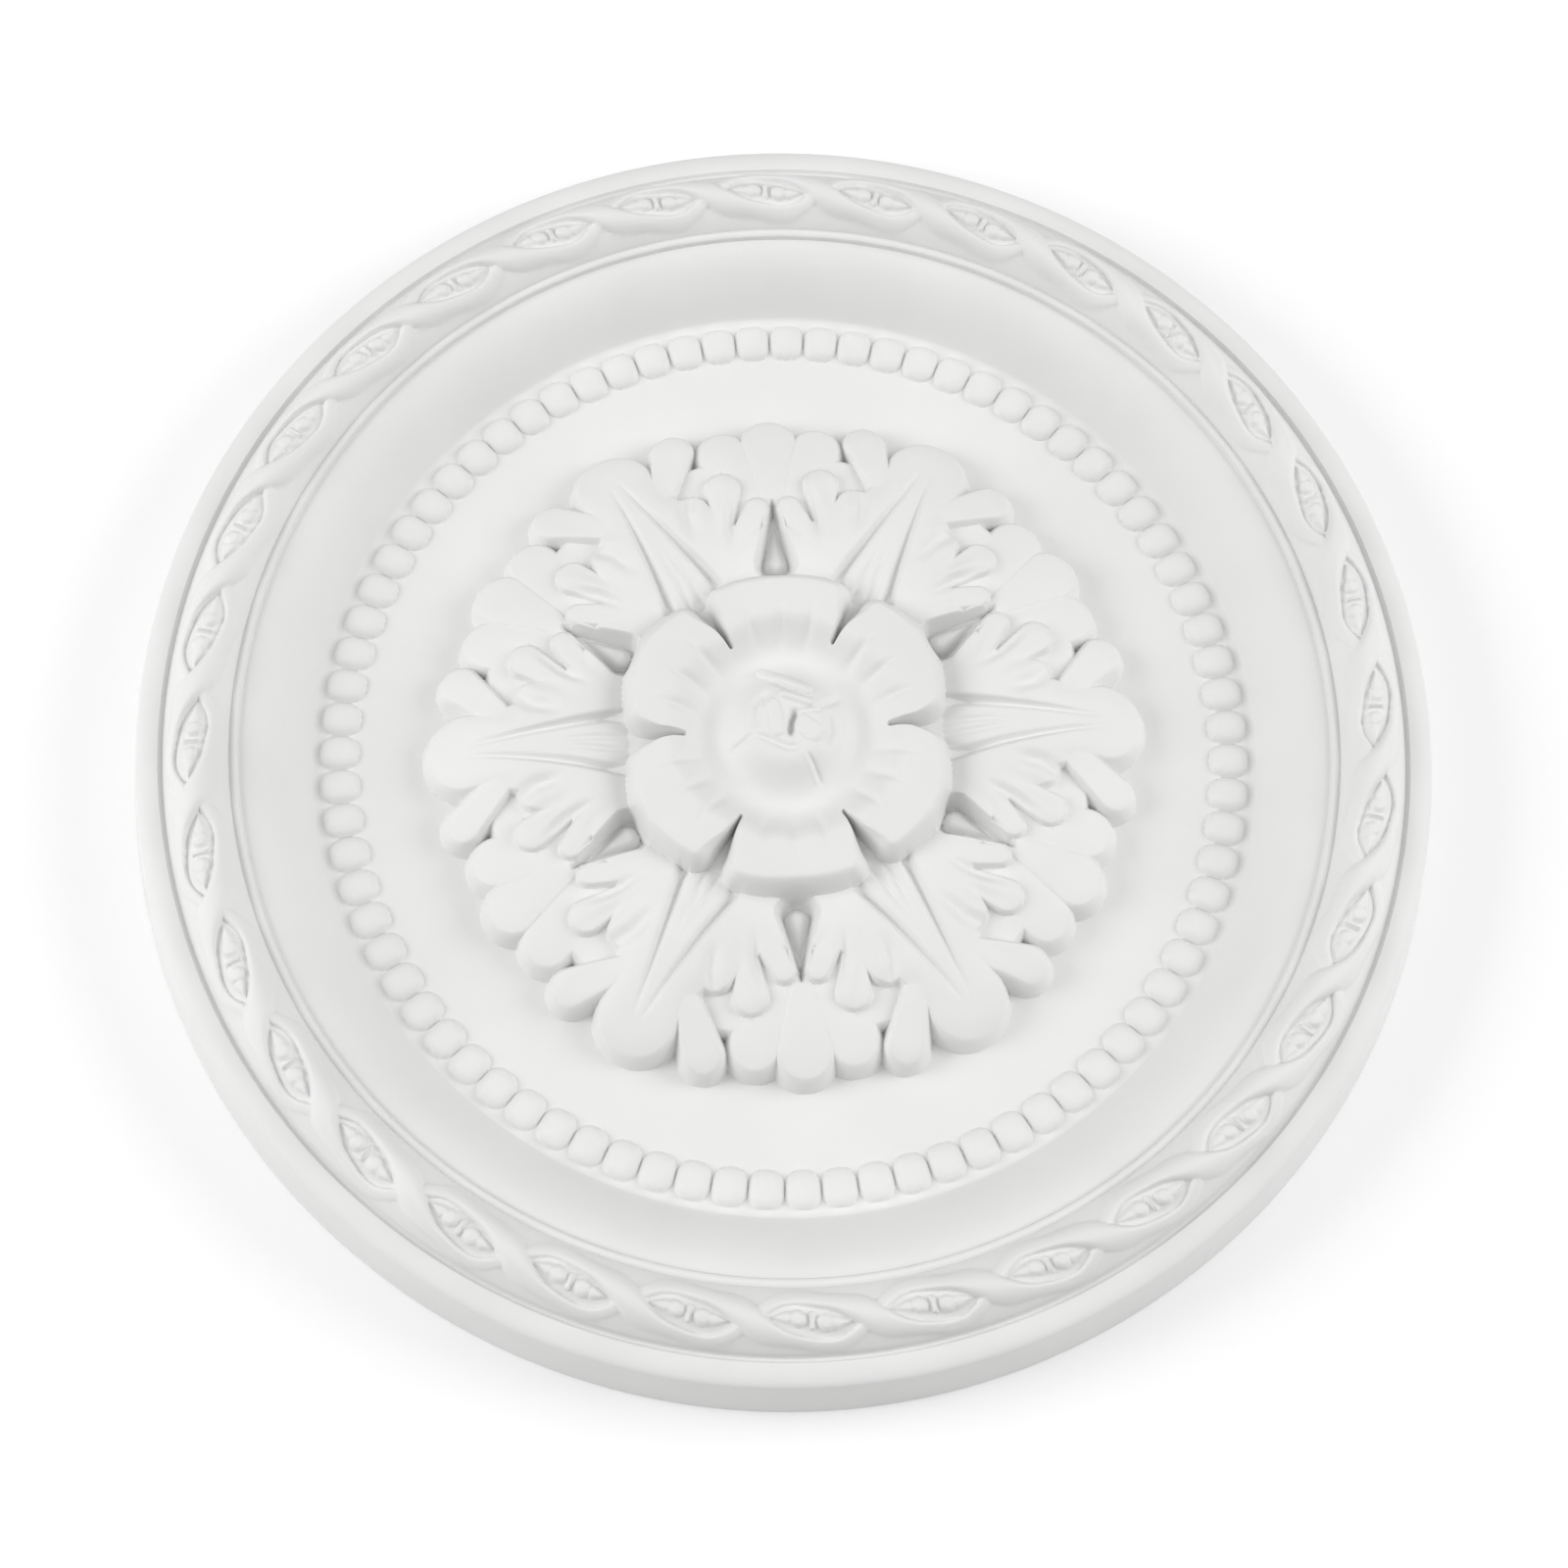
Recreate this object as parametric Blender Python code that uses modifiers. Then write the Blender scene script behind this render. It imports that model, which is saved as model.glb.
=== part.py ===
"""Ceiling rose, moulded in one piece: a turned round blank whose face is then carved.

From the outside in: a flared wall, a rounded outer band, a groove, a round moulding with a ring of
two twisted ribbons, a thin bead line, a bulging slope, a ring of square pearls, a plain field,
and a rosette of six leaves, six smaller leaves behind them, six petals and a rosebud.
Lengths are in metres and angles in radians. The rose lies on its flat back, with its face up.
"""

from math import atan2, cos, pi, radians, sin, tau

import bmesh
import bpy
import numpy as np

# Wall, outer band and groove
BACK_RADIUS = 0.250
EDGE_RADIUS = 0.245
EDGE_HEIGHT = 0.0298
BAND_WIDTH = 0.0088
BAND_RISE = 0.0032
GROOVE_WIDTH = 0.0024
GROOVE_DEPTH = 0.0018

# Round moulding under the ribbons, and the thin bead line inside it
TORUS_WIDTH = 0.0245
TORUS_RISE = 0.0087
LINE_WIDTH = 0.0032
LINE_RISE = 0.0008

# Slope down to the field
SLOPE_WIDTH = 0.0262
SLOPE_BEND = 1.9
SLOPE_FOOT_BLEND = 0.0022
FIELD_HEIGHT = 0.010

# Twisted ribbons
EYE_COUNT = 32
EYE_TURN = radians(-1.1)
RIBBON_HALF_WIDTH = 0.0026
RIBBON_OUTER_HALF_WIDTH = 0.0022
RIBBON_CROSS_HALF_WIDTH = 0.0050
RIBBON_EDGE_GAP = 0.0013
RIBBON_RISE = 0.0020
RIBBON_CROSS_RISE = 0.0010
RIBBON_FULLNESS = 0.10
BRAID_SHIFT = 0.0008
EYE_SINK = 0.0010
EYE_TILT = 0.0013
FLOWER_RISE = 0.0019

# Pearls
PEARL_COUNT = 79
PEARL_FILL = 0.98
PEARL_RISE = 0.0040
PEARL_SQUARENESS = 2.6
PEARL_GAP = 0.0016
PEARL_LENGTH = 1.13

# Rosette: its carving is given in shares of its reach and of its rise above the field
PLAIN_FIELD_WIDTH = 0.0279
ROSETTE_RISE = 0.0310
LEAF_COUNT = 6
LEAF_ROLL = 0.100
LEAF_BEND = 3.2
BACK_LEAF_BEND = 3.1
LEAF_WALL = 0.030
BOWL_FLOOR = 0.650
BUD_REACH = 0.180
BUD_RISE = 0.315
RIB_CREASE_DEPTH = 0.180
RIB_CREASE_WIDTH = 0.0130
DROP_FLOOR = 0.290
DROP_SEED_RISE = 0.160
PETAL_FLUTES = (-15.0, 0.0, 15.0)

# How far out the petals end, by the bearing from the nearer side: the flower isn't quite round
PETAL_ENDS = ((0.0, 0.447), (10.0, 0.457), (22.0, 0.482), (34.0, 0.497), (46.0, 0.486),
              (60.0, 0.476), (75.0, 0.474), (90.0, 0.468))

# One side of a leaf's midrib, from the middle of the rosette to the leaf's tip
RIB_EDGE = ((0.40, 0.086), (0.50, 0.074), (0.60, 0.056), (0.70, 0.040), (0.80, 0.025), (0.90, 0.013))

# Soft flutes of a leaf's lobes: points along each, its half width and its depth
LEAF_FLUTES = (
    (((0.55, 0.130), (0.66, 0.180), (0.78, 0.275)), 0.028, 0.045),
    (((0.52, 0.160), (0.62, 0.215), (0.70, 0.285)), 0.016, 0.080),
    (((0.47, 0.150), (0.56, 0.240), (0.64, 0.330)), 0.026, 0.030),
    (((0.72, 0.075), (0.82, 0.130), (0.96, 0.245)), 0.034, 0.045),
    (((0.60, 0.090), (0.70, 0.120), (0.80, 0.190)), 0.022, 0.085),
)

# Folds of the bud, in shares of its reach: both ends, the radius at each end, and the rise
BUD_FOLDS = (
    ((-0.34, 0.96), (0.32, 0.60), 0.090, 0.110, 0.055),
    ((-0.03, 0.50), (0.36, 0.36), 0.080, 0.080, 0.040),
    ((-0.20, 0.34), (-0.14, -0.08), 0.110, 0.100, 0.030),
    ((0.22, 0.02), (0.38, -0.12), 0.150, 0.170, 0.025),
    ((0.23, -0.46), (0.40, -0.86), 0.050, 0.040, 0.018),
)

# Creases of the bud: points along each, its half width and its depth
BUD_CREASES = (
    (((0.16, 0.28), (0.08, 0.06), (0.02, -0.22)), 0.060, 0.150),
    (((-0.20, 0.64), (-0.44, 0.34), (-0.52, -0.12)), 0.080, 0.065),
    (((-0.26, 0.80), (0.08, 0.60), (0.46, 0.42)), 0.050, 0.050),
    (((0.18, 0.21), (0.36, 0.23), (0.58, 0.22)), 0.040, 0.042),
    (((0.44, 0.24), (0.66, 0.36), (0.90, 0.52)), 0.070, 0.045),
    (((0.64, 0.34), (0.66, -0.10), (0.50, -0.44)), 0.080, 0.050),
    (((-0.60, -0.08), (-0.30, -0.21), (0.0, -0.36), (0.24, -0.36)), 0.050, 0.045),
    (((-0.92, -0.33), (-0.70, -0.22), (-0.48, -0.08)), 0.050, 0.032),
    (((0.28, -0.42), (0.38, -0.62), (0.52, -0.95)), 0.045, 0.038),
)

# Fineness: the face is carved on many columns, the wall keeps one side in so many of them
WALL_SIDES = 158
COLUMNS_PER_SIDE = 6
FACE_BUDGET = 9700

RIM_TOLERANCE = 0.00002

FOAM_COLOUR = (0.86, 0.86, 0.85, 1.0)
FOAM_ROUGHNESS = 0.55

# Radii that follow from the widths above, from the edge inwards
GROOVE_OUTER = EDGE_RADIUS - BAND_WIDTH
TORUS_OUTER = GROOVE_OUTER - GROOVE_WIDTH
TORUS_INNER = TORUS_OUTER - TORUS_WIDTH
TORUS_MIDDLE = (TORUS_OUTER + TORUS_INNER) / 2
SLOPE_TOP = TORUS_INNER - LINE_WIDTH
SLOPE_FOOT = SLOPE_TOP - SLOPE_WIDTH
TORUS_FOOT_HEIGHT = EDGE_HEIGHT + BAND_RISE
BRAID_MIDDLE = TORUS_MIDDLE + BRAID_SHIFT
EYE_STEP = tau * BRAID_MIDDLE / EYE_COUNT
PEARL_RING = (SLOPE_FOOT - PEARL_GAP) / (1 + pi * PEARL_FILL * PEARL_LENGTH / PEARL_COUNT)
PEARL_RADIUS = PEARL_RING * pi * PEARL_FILL / PEARL_COUNT
ROSETTE_REACH = PEARL_RING - PEARL_RADIUS - PLAIN_FIELD_WIDTH


def clear_scene():
    for thing in list(bpy.data.objects):
        bpy.data.objects.remove(thing, do_unlink=True)


# Small tools of the carver

def smooth_max(a, b, blend):
    """The higher of two surfaces, with a fillet of about the blend's size where they meet."""
    near = np.clip(0.5 + 0.5 * (a - b) / blend, 0.0, 1.0)
    return b + (a - b) * near + blend * near * (1.0 - near)


def smooth_step(low, high, value):
    t = np.clip((value - low) / (high - low), 0.0, 1.0)
    return t * t * (3.0 - 2.0 * t)


def capsule(x, y, start, end, start_radius, end_radius):
    """Signed distance, negative inside, to a round-ended bar that may taper."""
    dx = end[0] - start[0]
    dy = end[1] - start[1]
    along = ((x - start[0]) * dx + (y - start[1]) * dy) / (dx * dx + dy * dy)
    along = np.clip(along, 0.0, 1.0)
    away = np.hypot(x - start[0] - along * dx, y - start[1] - along * dy)
    return away - start_radius - along * (end_radius - start_radius)


def near_line(x, y, points):
    """Distance to a line through the points, and how far along it the nearest place is, 0 to 1."""
    spans = list(zip(points[:-1], points[1:]))
    best = np.full(np.shape(x), np.inf)
    place = np.zeros(np.shape(x))
    for index, (start, end) in enumerate(spans):
        dx = end[0] - start[0]
        dy = end[1] - start[1]
        along = np.clip(((x - start[0]) * dx + (y - start[1]) * dy) / (dx * dx + dy * dy), 0.0, 1.0)
        away = np.hypot(x - start[0] - along * dx, y - start[1] - along * dy)
        place = np.where(away < best, (index + along) / len(spans), place)
        best = np.minimum(best, away)
    return best, place


def cut_groove(x, y, points, width, fade=0.25):
    """Share of a groove's depth at each place: 1 on its line, fading out at both ends."""
    away, place = near_line(x, y, points)
    ends = smooth_step(0.0, fade, place) * smooth_step(0.0, fade, 1.0 - place)
    return ends * np.exp(-(away / width) ** 2)


def pillow(distance, roundness):
    """Rise of a form from its outline, 0 outside and 1 well inside, with a rounded shoulder."""
    inside = np.clip(-distance / roundness, 0.0, 1.0)
    return (1.0 - (1.0 - inside) ** 2) ** 0.75


# The turned blank

def face_profile():
    """Radius and height of the turned face, from the middle to the edge."""
    rows = []
    rows += [(radius, FIELD_HEIGHT) for radius in np.arange(0.0, ROSETTE_REACH * 1.04, 0.0009)]
    rows += [(radius, FIELD_HEIGHT) for radius in np.linspace(ROSETTE_REACH * 1.05,
                                                              PEARL_RING - PEARL_RADIUS * 1.3, 5)]
    pearl_rows = np.linspace(-1.2, 1.2, 21)
    rows += [(PEARL_RING + share * PEARL_RADIUS, FIELD_HEIGHT) for share in pearl_rows]
    for share in np.linspace(0.0, 1.0, 19)[1:]:
        radius = SLOPE_FOOT + share * SLOPE_WIDTH
        rows.append((radius, slope_height(radius)))
    for share in np.linspace(0.0, 1.0, 7):
        radius = SLOPE_TOP + share * LINE_WIDTH
        height = TORUS_FOOT_HEIGHT + LINE_RISE * np.sin(pi * share)
        rows.append((radius + 0.0002, height))
    for share in np.linspace(0.0, 1.0, 39)[1:]:
        radius = TORUS_INNER + share * TORUS_WIDTH
        height = TORUS_FOOT_HEIGHT + TORUS_RISE * np.sin(pi * share) ** 0.8
        rows.append((radius, height))
    for share in (0.3, 0.5, 0.7):
        radius = TORUS_OUTER + share * GROOVE_WIDTH
        rows.append((radius, TORUS_FOOT_HEIGHT - GROOVE_DEPTH * np.sin(pi * share)))
    for share in np.linspace(0.0, 1.0, 9):
        radius = GROOVE_OUTER + BAND_WIDTH * np.sin(share * pi / 2)
        rows.append((radius, EDGE_HEIGHT + BAND_RISE * np.cos(share * pi / 2)))
    return rows


def slope_height(radius):
    """The slope bulges at its top and lands on the field in a small hollow."""
    share = (SLOPE_TOP - radius) / SLOPE_WIDTH
    rise = TORUS_FOOT_HEIGHT - LINE_RISE - FIELD_HEIGHT
    bulge = FIELD_HEIGHT - SLOPE_FOOT_BLEND / 2 + rise * (1.0 - share ** SLOPE_BEND)
    return float(smooth_max(bulge, FIELD_HEIGHT, SLOPE_FOOT_BLEND))


def turned_blank(collection):
    """A mesh of the whole blank: face, wall and flat back, turned about the vertical axis."""
    rows = face_profile()
    rows += [(BACK_RADIUS, 0.0), (0.0, 0.0)]
    points = [(radius, 0.0, height) for radius, height in rows]
    edges = [(index, index + 1) for index in range(len(points) - 1)]
    mesh = bpy.data.meshes.new("blank profile")
    mesh.from_pydata(points, edges, [])
    profile = bpy.data.objects.new("blank profile", mesh)
    collection.objects.link(profile)
    screw = profile.modifiers.new("Turn", "SCREW")
    screw.axis = "Z"
    screw.steps = WALL_SIDES * COLUMNS_PER_SIDE
    screw.render_steps = WALL_SIDES * COLUMNS_PER_SIDE
    screw.use_merge_vertices = True
    screw.merge_threshold = 0.0001
    depsgraph = bpy.context.evaluated_depsgraph_get()
    turned = bpy.data.meshes.new_from_object(profile.evaluated_get(depsgraph))
    bpy.data.objects.remove(profile, do_unlink=True)
    return turned


# Carving of the face: each function takes places and gives heights

def braid(radius, angle, ground):
    """Two ribbons that cross between the eyes. The one that runs outwards passes over, and swells."""
    turns = (angle - EYE_TURN) / tau * EYE_COUNT
    across = radius - BRAID_MIDDLE - EYE_TILT * np.sin(2 * pi * turns)
    swing = TORUS_OUTER - RIBBON_EDGE_GAP - RIBBON_OUTER_HALF_WIDTH - BRAID_MIDDLE
    wave = (1.0 + RIBBON_FULLNESS) * np.cos(pi * turns) - RIBBON_FULLNESS * np.cos(3 * pi * turns)
    slant = (1.0 + RIBBON_FULLNESS) * np.sin(pi * turns) - 3 * RIBBON_FULLNESS * np.sin(3 * pi * turns)
    straight = 1.0 / np.hypot(1.0, swing * slant * pi / EYE_STEP)
    between = np.abs(across) < swing * np.abs(wave)
    floor = ground - EYE_SINK * between
    place = (turns - np.round(turns)) * EYE_STEP
    height = floor + flower(place, across)
    for side in (1.0, -1.0):
        over = side * -np.sin(pi * turns)
        half_width = RIBBON_HALF_WIDTH + (RIBBON_OUTER_HALF_WIDTH - RIBBON_HALF_WIDTH) * side * wave
        swell = (RIBBON_CROSS_HALF_WIDTH - RIBBON_HALF_WIDTH) * np.clip(over, 0.0, 1.0) ** 3
        away = np.abs(across - side * swing * wave) * straight / (half_width + swell)
        top = ground + RIBBON_RISE + RIBBON_CROSS_RISE * over
        ribbon = floor + (top - floor) * np.clip(1.0 - away ** 2.6, 0.0, 1.0) ** 0.6
        height = np.where(away < 1.0, np.maximum(height, ribbon), height)
    return height


def flower(along, across):
    """A bar between two round petals, with a pointed leaf at each end of the eye."""
    bar = pillow(capsule(along, across, (0.0, -0.0026), (0.0, 0.0026), 0.0008, 0.0008), 0.0008)
    petal = pillow(np.hypot(np.abs(along) - 0.0050, across) - 0.0033, 0.0020)
    leaf = pillow(capsule(np.abs(along), across, (0.0090, 0.0), (0.0140, 0.0), 0.0024, 0.0005), 0.0018)
    return FLOWER_RISE * np.maximum(np.maximum(bar, petal), 0.8 * leaf)


def pearls(radius, angle):
    """Height above the field of a ring of rounded square pearls."""
    step = tau / PEARL_COUNT
    along = (angle / step - np.round(angle / step)) * step * PEARL_RING / PEARL_RADIUS
    across = (radius - PEARL_RING) / PEARL_RADIUS / PEARL_LENGTH
    size = np.abs(along) ** PEARL_SQUARENESS + np.abs(across) ** PEARL_SQUARENESS
    return PEARL_RISE * np.clip(1.0 - size, 0.0, 1.0) ** 0.62


def fold_angle(angle, count, turn=0.0):
    """The angle from the nearest of several evenly spaced axes."""
    step = tau / count
    return (angle - turn + step / 2) % step - step / 2


def leaf_outline(x, y):
    """Signed distance to one main leaf and the collar that joins it to its neighbours."""
    collar = np.hypot(x, y) - 0.64
    tip = capsule(x, y, (0.84, 0.0), (0.893, 0.0), 0.126, 0.132)
    stem = capsule(x, y, (0.50, 0.0), (0.84, 0.0), 0.22, 0.126)
    upper = capsule(x, y, (0.80, 0.100), (0.905, 0.203), 0.058, 0.076)
    middle = capsule(x, y, (0.62, 0.190), (0.716, 0.252), 0.054, 0.070)
    lower = capsule(x, y, (0.53, 0.180), (0.612, 0.300), 0.060, 0.053)
    joint = capsule(x, y, (0.50, 0.289), (0.567, 0.327), 0.060, 0.053)
    blade = capsule(x, y, (0.55, 0.130), (0.695, 0.130), 0.130, 0.080)
    outline = np.minimum(np.minimum(collar, joint), np.minimum(stem, blade))
    outline = np.minimum(outline, tip)
    outline = np.minimum(np.minimum(outline, upper), np.minimum(middle, lower))
    return outline


def main_leaves(reach, fold):
    """Share of the rosette's rise of the six leaves in front."""
    x = reach * np.cos(fold)
    y = np.abs(reach * np.sin(fold))
    bend = np.where(reach > 0.63, LEAF_BEND, 5.7)
    crown = 0.74 - bend * (reach - 0.63) ** 2 - 0.45 * y ** 2 / (0.3 + reach)
    for points, width, depth in LEAF_FLUTES:
        crown = crown - depth * cut_groove(x, y, points, width, 0.40)
    outline = leaf_outline(x, y)
    leaf = crown * pillow(outline, LEAF_WALL) - LEAF_ROLL * (1.0 - pillow(outline, 0.085))
    away, place = near_line(x, y, RIB_EDGE)
    width = RIB_CREASE_WIDTH * (1.0 - 0.5 * place)
    crease = RIB_CREASE_DEPTH * (1.0 - place) ** 0.9 * np.exp(-(away / width) ** 2)
    inside = smooth_step(-0.004, 0.014, rib_half_width(reach) - y) * smooth_step(0.86, 0.60, reach)
    spine = cut_groove(x, y, [(0.40, 0.022), (0.52, 0.016), (0.68, 0.006)], 0.008, 0.5)
    return leaf - crease - 0.030 * inside - 0.035 * spine


def rib_half_width(reach):
    return np.interp(reach, [place[0] for place in RIB_EDGE], [place[1] for place in RIB_EDGE])


def drop_hollow(reach, gap_fold):
    """Outline and floor of the drop-shaped hollow between two leaves, with a seed in it."""
    x = reach * np.cos(gap_fold)
    y = np.abs(reach * np.sin(gap_fold))
    outline = capsule(x, y, (0.515, 0.0), (0.700, 0.0), 0.060, 0.005)
    seed = capsule(x, y, (0.525, 0.0), (0.660, 0.0), 0.036, 0.003)
    floor = DROP_FLOOR + DROP_SEED_RISE * pillow(seed, 0.030)
    return outline, floor


def back_leaves(reach, gap_fold):
    """Share of the rise of the smaller leaves that show behind the gaps."""
    x = reach * np.cos(gap_fold)
    y = np.abs(reach * np.sin(gap_fold))
    middle = capsule(x, y, (0.66, 0.0), (0.893, 0.0), 0.042, 0.099)
    shoulder = capsule(x, y, (0.66, 0.08), (0.868, 0.135), 0.085, 0.092)
    crown = 0.575 - BACK_LEAF_BEND * np.clip(reach - 0.70, 0.0, 1.0) ** 2 - 1.0 * y ** 2
    front = crown * pillow(middle, 0.030) - LEAF_ROLL / 2 * (1.0 - pillow(middle, 0.080))
    side = (crown - 0.018) * pillow(shoulder, 0.030) - LEAF_ROLL / 2 * (1.0 - pillow(shoulder, 0.080))
    bed = (crown - 0.032) * pillow(reach - 0.875, 0.030)
    return np.maximum(front, np.maximum(side, bed))


def petals(reach, gap_fold, angle):
    """Share of the rise of the six petals round the bud, and their outline."""
    x = reach * np.cos(gap_fold)
    along = reach * np.sin(gap_fold)
    corner = 0.060
    turn = np.degrees(np.arctan2(np.abs(np.sin(angle)), np.abs(np.cos(angle))))
    ends = np.interp(turn, [bearing for bearing, end in PETAL_ENDS], [end for bearing, end in PETAL_ENDS])
    edge = reach - ends + corner
    parting = 0.018 * smooth_step(0.27, 0.43, reach) - 0.004
    side = reach * np.sin(np.abs(gap_fold) - pi / LEAF_COUNT) + parting + corner
    side = side - 0.07 * smooth_step(0.285, 0.255, reach)
    outline = np.hypot(np.clip(edge, 0.0, None), np.clip(side, 0.0, None)) - corner
    outline = outline + np.minimum(np.maximum(edge, side), 0.0)
    crown = 0.985 - 3.0 * (reach - 0.34) ** 2 - 1.7 * along ** 2 * smooth_step(0.26, 0.36, reach)
    for bearing in PETAL_FLUTES:
        ray = radians(bearing)
        line = [(0.22 * np.cos(ray), 0.22 * np.sin(ray)), (0.38 * np.cos(ray), 0.38 * np.sin(ray))]
        away, place = near_line(x, along, line)
        crown = crown - 0.105 * (1.0 - place) * np.exp(-(away / (0.020 - 0.012 * place)) ** 2)
    bowl = smooth_step(0.215, 0.340, reach)
    return BOWL_FLOOR + (crown - BOWL_FLOOR) * bowl, outline


def rosebud(reach, angle):
    """Share of the rise of the bud in the middle: a low dome with folds and creases cut in it."""
    x = reach * np.cos(angle) / BUD_REACH
    y = reach * np.sin(angle) / BUD_REACH
    height = BOWL_FLOOR + BUD_RISE * (1.0 - smooth_step(0.45, 1.18, np.hypot(x, y)))
    for start, end, start_radius, end_radius, rise in BUD_FOLDS:
        height = height + rise * pillow(capsule(x, y, start, end, start_radius, end_radius), 0.08)
    for points, width, depth in BUD_CREASES:
        height = height - depth * cut_groove(x, y, points, width, 0.3)
    return height


def rosette(radius, angle):
    """Height above the field of the whole rosette."""
    reach = radius / ROSETTE_REACH
    leaf_fold = fold_angle(angle, LEAF_COUNT)
    gap_fold = fold_angle(angle, LEAF_COUNT, pi / LEAF_COUNT)
    height = np.maximum(main_leaves(reach, leaf_fold), back_leaves(reach, gap_fold))
    hollow, floor = drop_hollow(reach, gap_fold)
    wall = floor + (height - floor) * smooth_step(-0.026, 0.008, hollow)
    height = np.minimum(height, np.maximum(wall, floor))
    petal, outline = petals(reach, gap_fold, angle)
    shoulder = 0.015 + 0.027 * smooth_step(0.34, 0.43, reach)
    height = height + (petal - height) * pillow(outline, shoulder)
    height = np.where(reach < 1.18 * BUD_REACH, rosebud(reach, angle), height)
    return ROSETTE_RISE * np.clip(height, 0.0, None)


def carve(mesh):
    """Moves the points of the turned face up or down by the carving."""
    points = np.empty(len(mesh.vertices) * 3)
    mesh.vertices.foreach_get("co", points)
    points = points.reshape(-1, 3)
    radius = np.hypot(points[:, 0], points[:, 1])
    angle = np.arctan2(points[:, 1], points[:, 0])
    face = (points[:, 2] > FIELD_HEIGHT / 2) & (radius < EDGE_RADIUS)
    ring = face & (radius > TORUS_INNER) & (radius < TORUS_OUTER)
    points[ring, 2] = braid(radius[ring], angle[ring], points[ring, 2])
    beads = face & (radius < SLOPE_FOOT)
    points[beads, 2] += pearls(radius[beads], angle[beads])
    middle = face & (radius < ROSETTE_REACH * 1.045)
    points[middle, 2] += rosette(radius[middle], angle[middle])
    mesh.vertices.foreach_set("co", points.ravel())
    mesh.update()


def coarsen_wall(mesh):
    """Draws the columns of the edge and the wall together into fewer, even sides."""
    shape = bmesh.new()
    shape.from_mesh(mesh)
    step = tau / WALL_SIDES
    rim = [point for point in shape.verts if point.co.xy.length > EDGE_RADIUS - RIM_TOLERANCE]
    for point in rim:
        radius = point.co.xy.length
        angle = round(atan2(point.co.y, point.co.x) / step) * step
        point.co.x = radius * cos(angle)
        point.co.y = radius * sin(angle)
    bmesh.ops.remove_doubles(shape, verts=rim, dist=RIM_TOLERANCE)
    back = [face for face in shape.faces if face.calc_center_median().z < RIM_TOLERANCE]
    bmesh.ops.dissolve_faces(shape, faces=back)
    shape.to_mesh(mesh)
    shape.free()
    mesh.update()


def foam_material():
    material = bpy.data.materials.new("white moulded foam")
    material.use_nodes = True
    shader = material.node_tree.nodes["Principled BSDF"]
    shader.inputs["Base Color"].default_value = FOAM_COLOUR
    shader.inputs["Roughness"].default_value = FOAM_ROUGHNESS
    shader.inputs["Metallic"].default_value = 0.0
    return material


def ceiling_rose(collection):
    mesh = turned_blank(collection)
    carve(mesh)
    coarsen_wall(mesh)
    mesh.name = "moulded_rose"
    mesh.materials.clear()
    mesh.materials.append(foam_material())
    mesh.shade_smooth()
    mesh.set_sharp_from_angle(angle=radians(40))
    rose = bpy.data.objects.new("moulded_rose", mesh)
    collection.objects.link(rose)
    carved = [point.index for point in mesh.vertices if point.co.xy.length < EDGE_RADIUS - RIM_TOLERANCE]
    rose.vertex_groups.new(name="carved face").add(carved, 1.0, "REPLACE")
    thin = rose.modifiers.new("Spare faces", "DECIMATE")
    thin.decimate_type = "COLLAPSE"
    thin.ratio = FACE_BUDGET / (len(mesh.polygons) * 2)
    thin.vertex_group = "carved face"
    thin.use_collapse_triangulate = True
    return rose


def main():
    clear_scene()
    collection = bpy.data.collections.new("ceiling rose")
    bpy.context.scene.collection.children.link(collection)
    ceiling_rose(collection)


main()
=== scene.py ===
"""Looks of the ceiling rose: its carving cut fine, a white foam finish, a floor, light and a camera.

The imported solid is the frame. One fine mesh of the same turned and carved form stands for it.
Lengths are in metres and angles in radians, in the solid's own frame.
"""

from math import cos, pi, radians, sin, tau

import bmesh
import bpy
import numpy as np
from mathutils import Matrix, Vector


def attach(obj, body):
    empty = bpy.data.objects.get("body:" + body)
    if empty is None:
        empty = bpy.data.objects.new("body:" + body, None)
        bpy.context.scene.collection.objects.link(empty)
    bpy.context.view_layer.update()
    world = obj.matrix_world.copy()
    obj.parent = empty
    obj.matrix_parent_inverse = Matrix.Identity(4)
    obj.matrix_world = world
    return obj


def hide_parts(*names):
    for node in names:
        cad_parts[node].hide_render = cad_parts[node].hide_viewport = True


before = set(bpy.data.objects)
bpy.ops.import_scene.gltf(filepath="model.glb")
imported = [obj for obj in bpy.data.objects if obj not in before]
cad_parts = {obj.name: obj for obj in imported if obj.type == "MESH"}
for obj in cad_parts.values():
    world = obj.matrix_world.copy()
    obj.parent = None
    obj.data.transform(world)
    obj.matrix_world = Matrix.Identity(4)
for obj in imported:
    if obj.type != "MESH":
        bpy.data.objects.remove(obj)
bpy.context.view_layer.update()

# Camera, fitted to the photograph's two rim ellipses
CAMERA_AZIMUTH = -7.7
CAMERA_ELEVATION = 72.77
CAMERA_ROLL = 4.586
CAMERA_DISTANCE = 1.176
CAMERA_TARGET = (-0.00096, -0.01105, 0.0)
CAMERA_LENS = 69.82

# Light: a pale sky, dim low down in front and behind, and a softbox at each side
HIGH_SKY = 0.80
LOW_SKY = 0.71
DIM_SKY = 0.0
SKY_LIFT = (0.15, 0.80)
SKY_DIMMING = (0.36, 0.72)
SOFTBOX_SIZE = 1.2
SOFTBOX_OUT = 1.7
SOFTBOX_BACK = 0.05
SOFTBOX_UP = 1.15
LEFT_POWER = 17.0
RIGHT_POWER = 15.0

# Floor, which lies just under the rose so that the two don't share a plane
FLOOR_HALF = 4.0
FLOOR_GAP = 0.0003
FLOOR_COLOUR = (0.97, 0.97, 0.97, 1.0)

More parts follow.
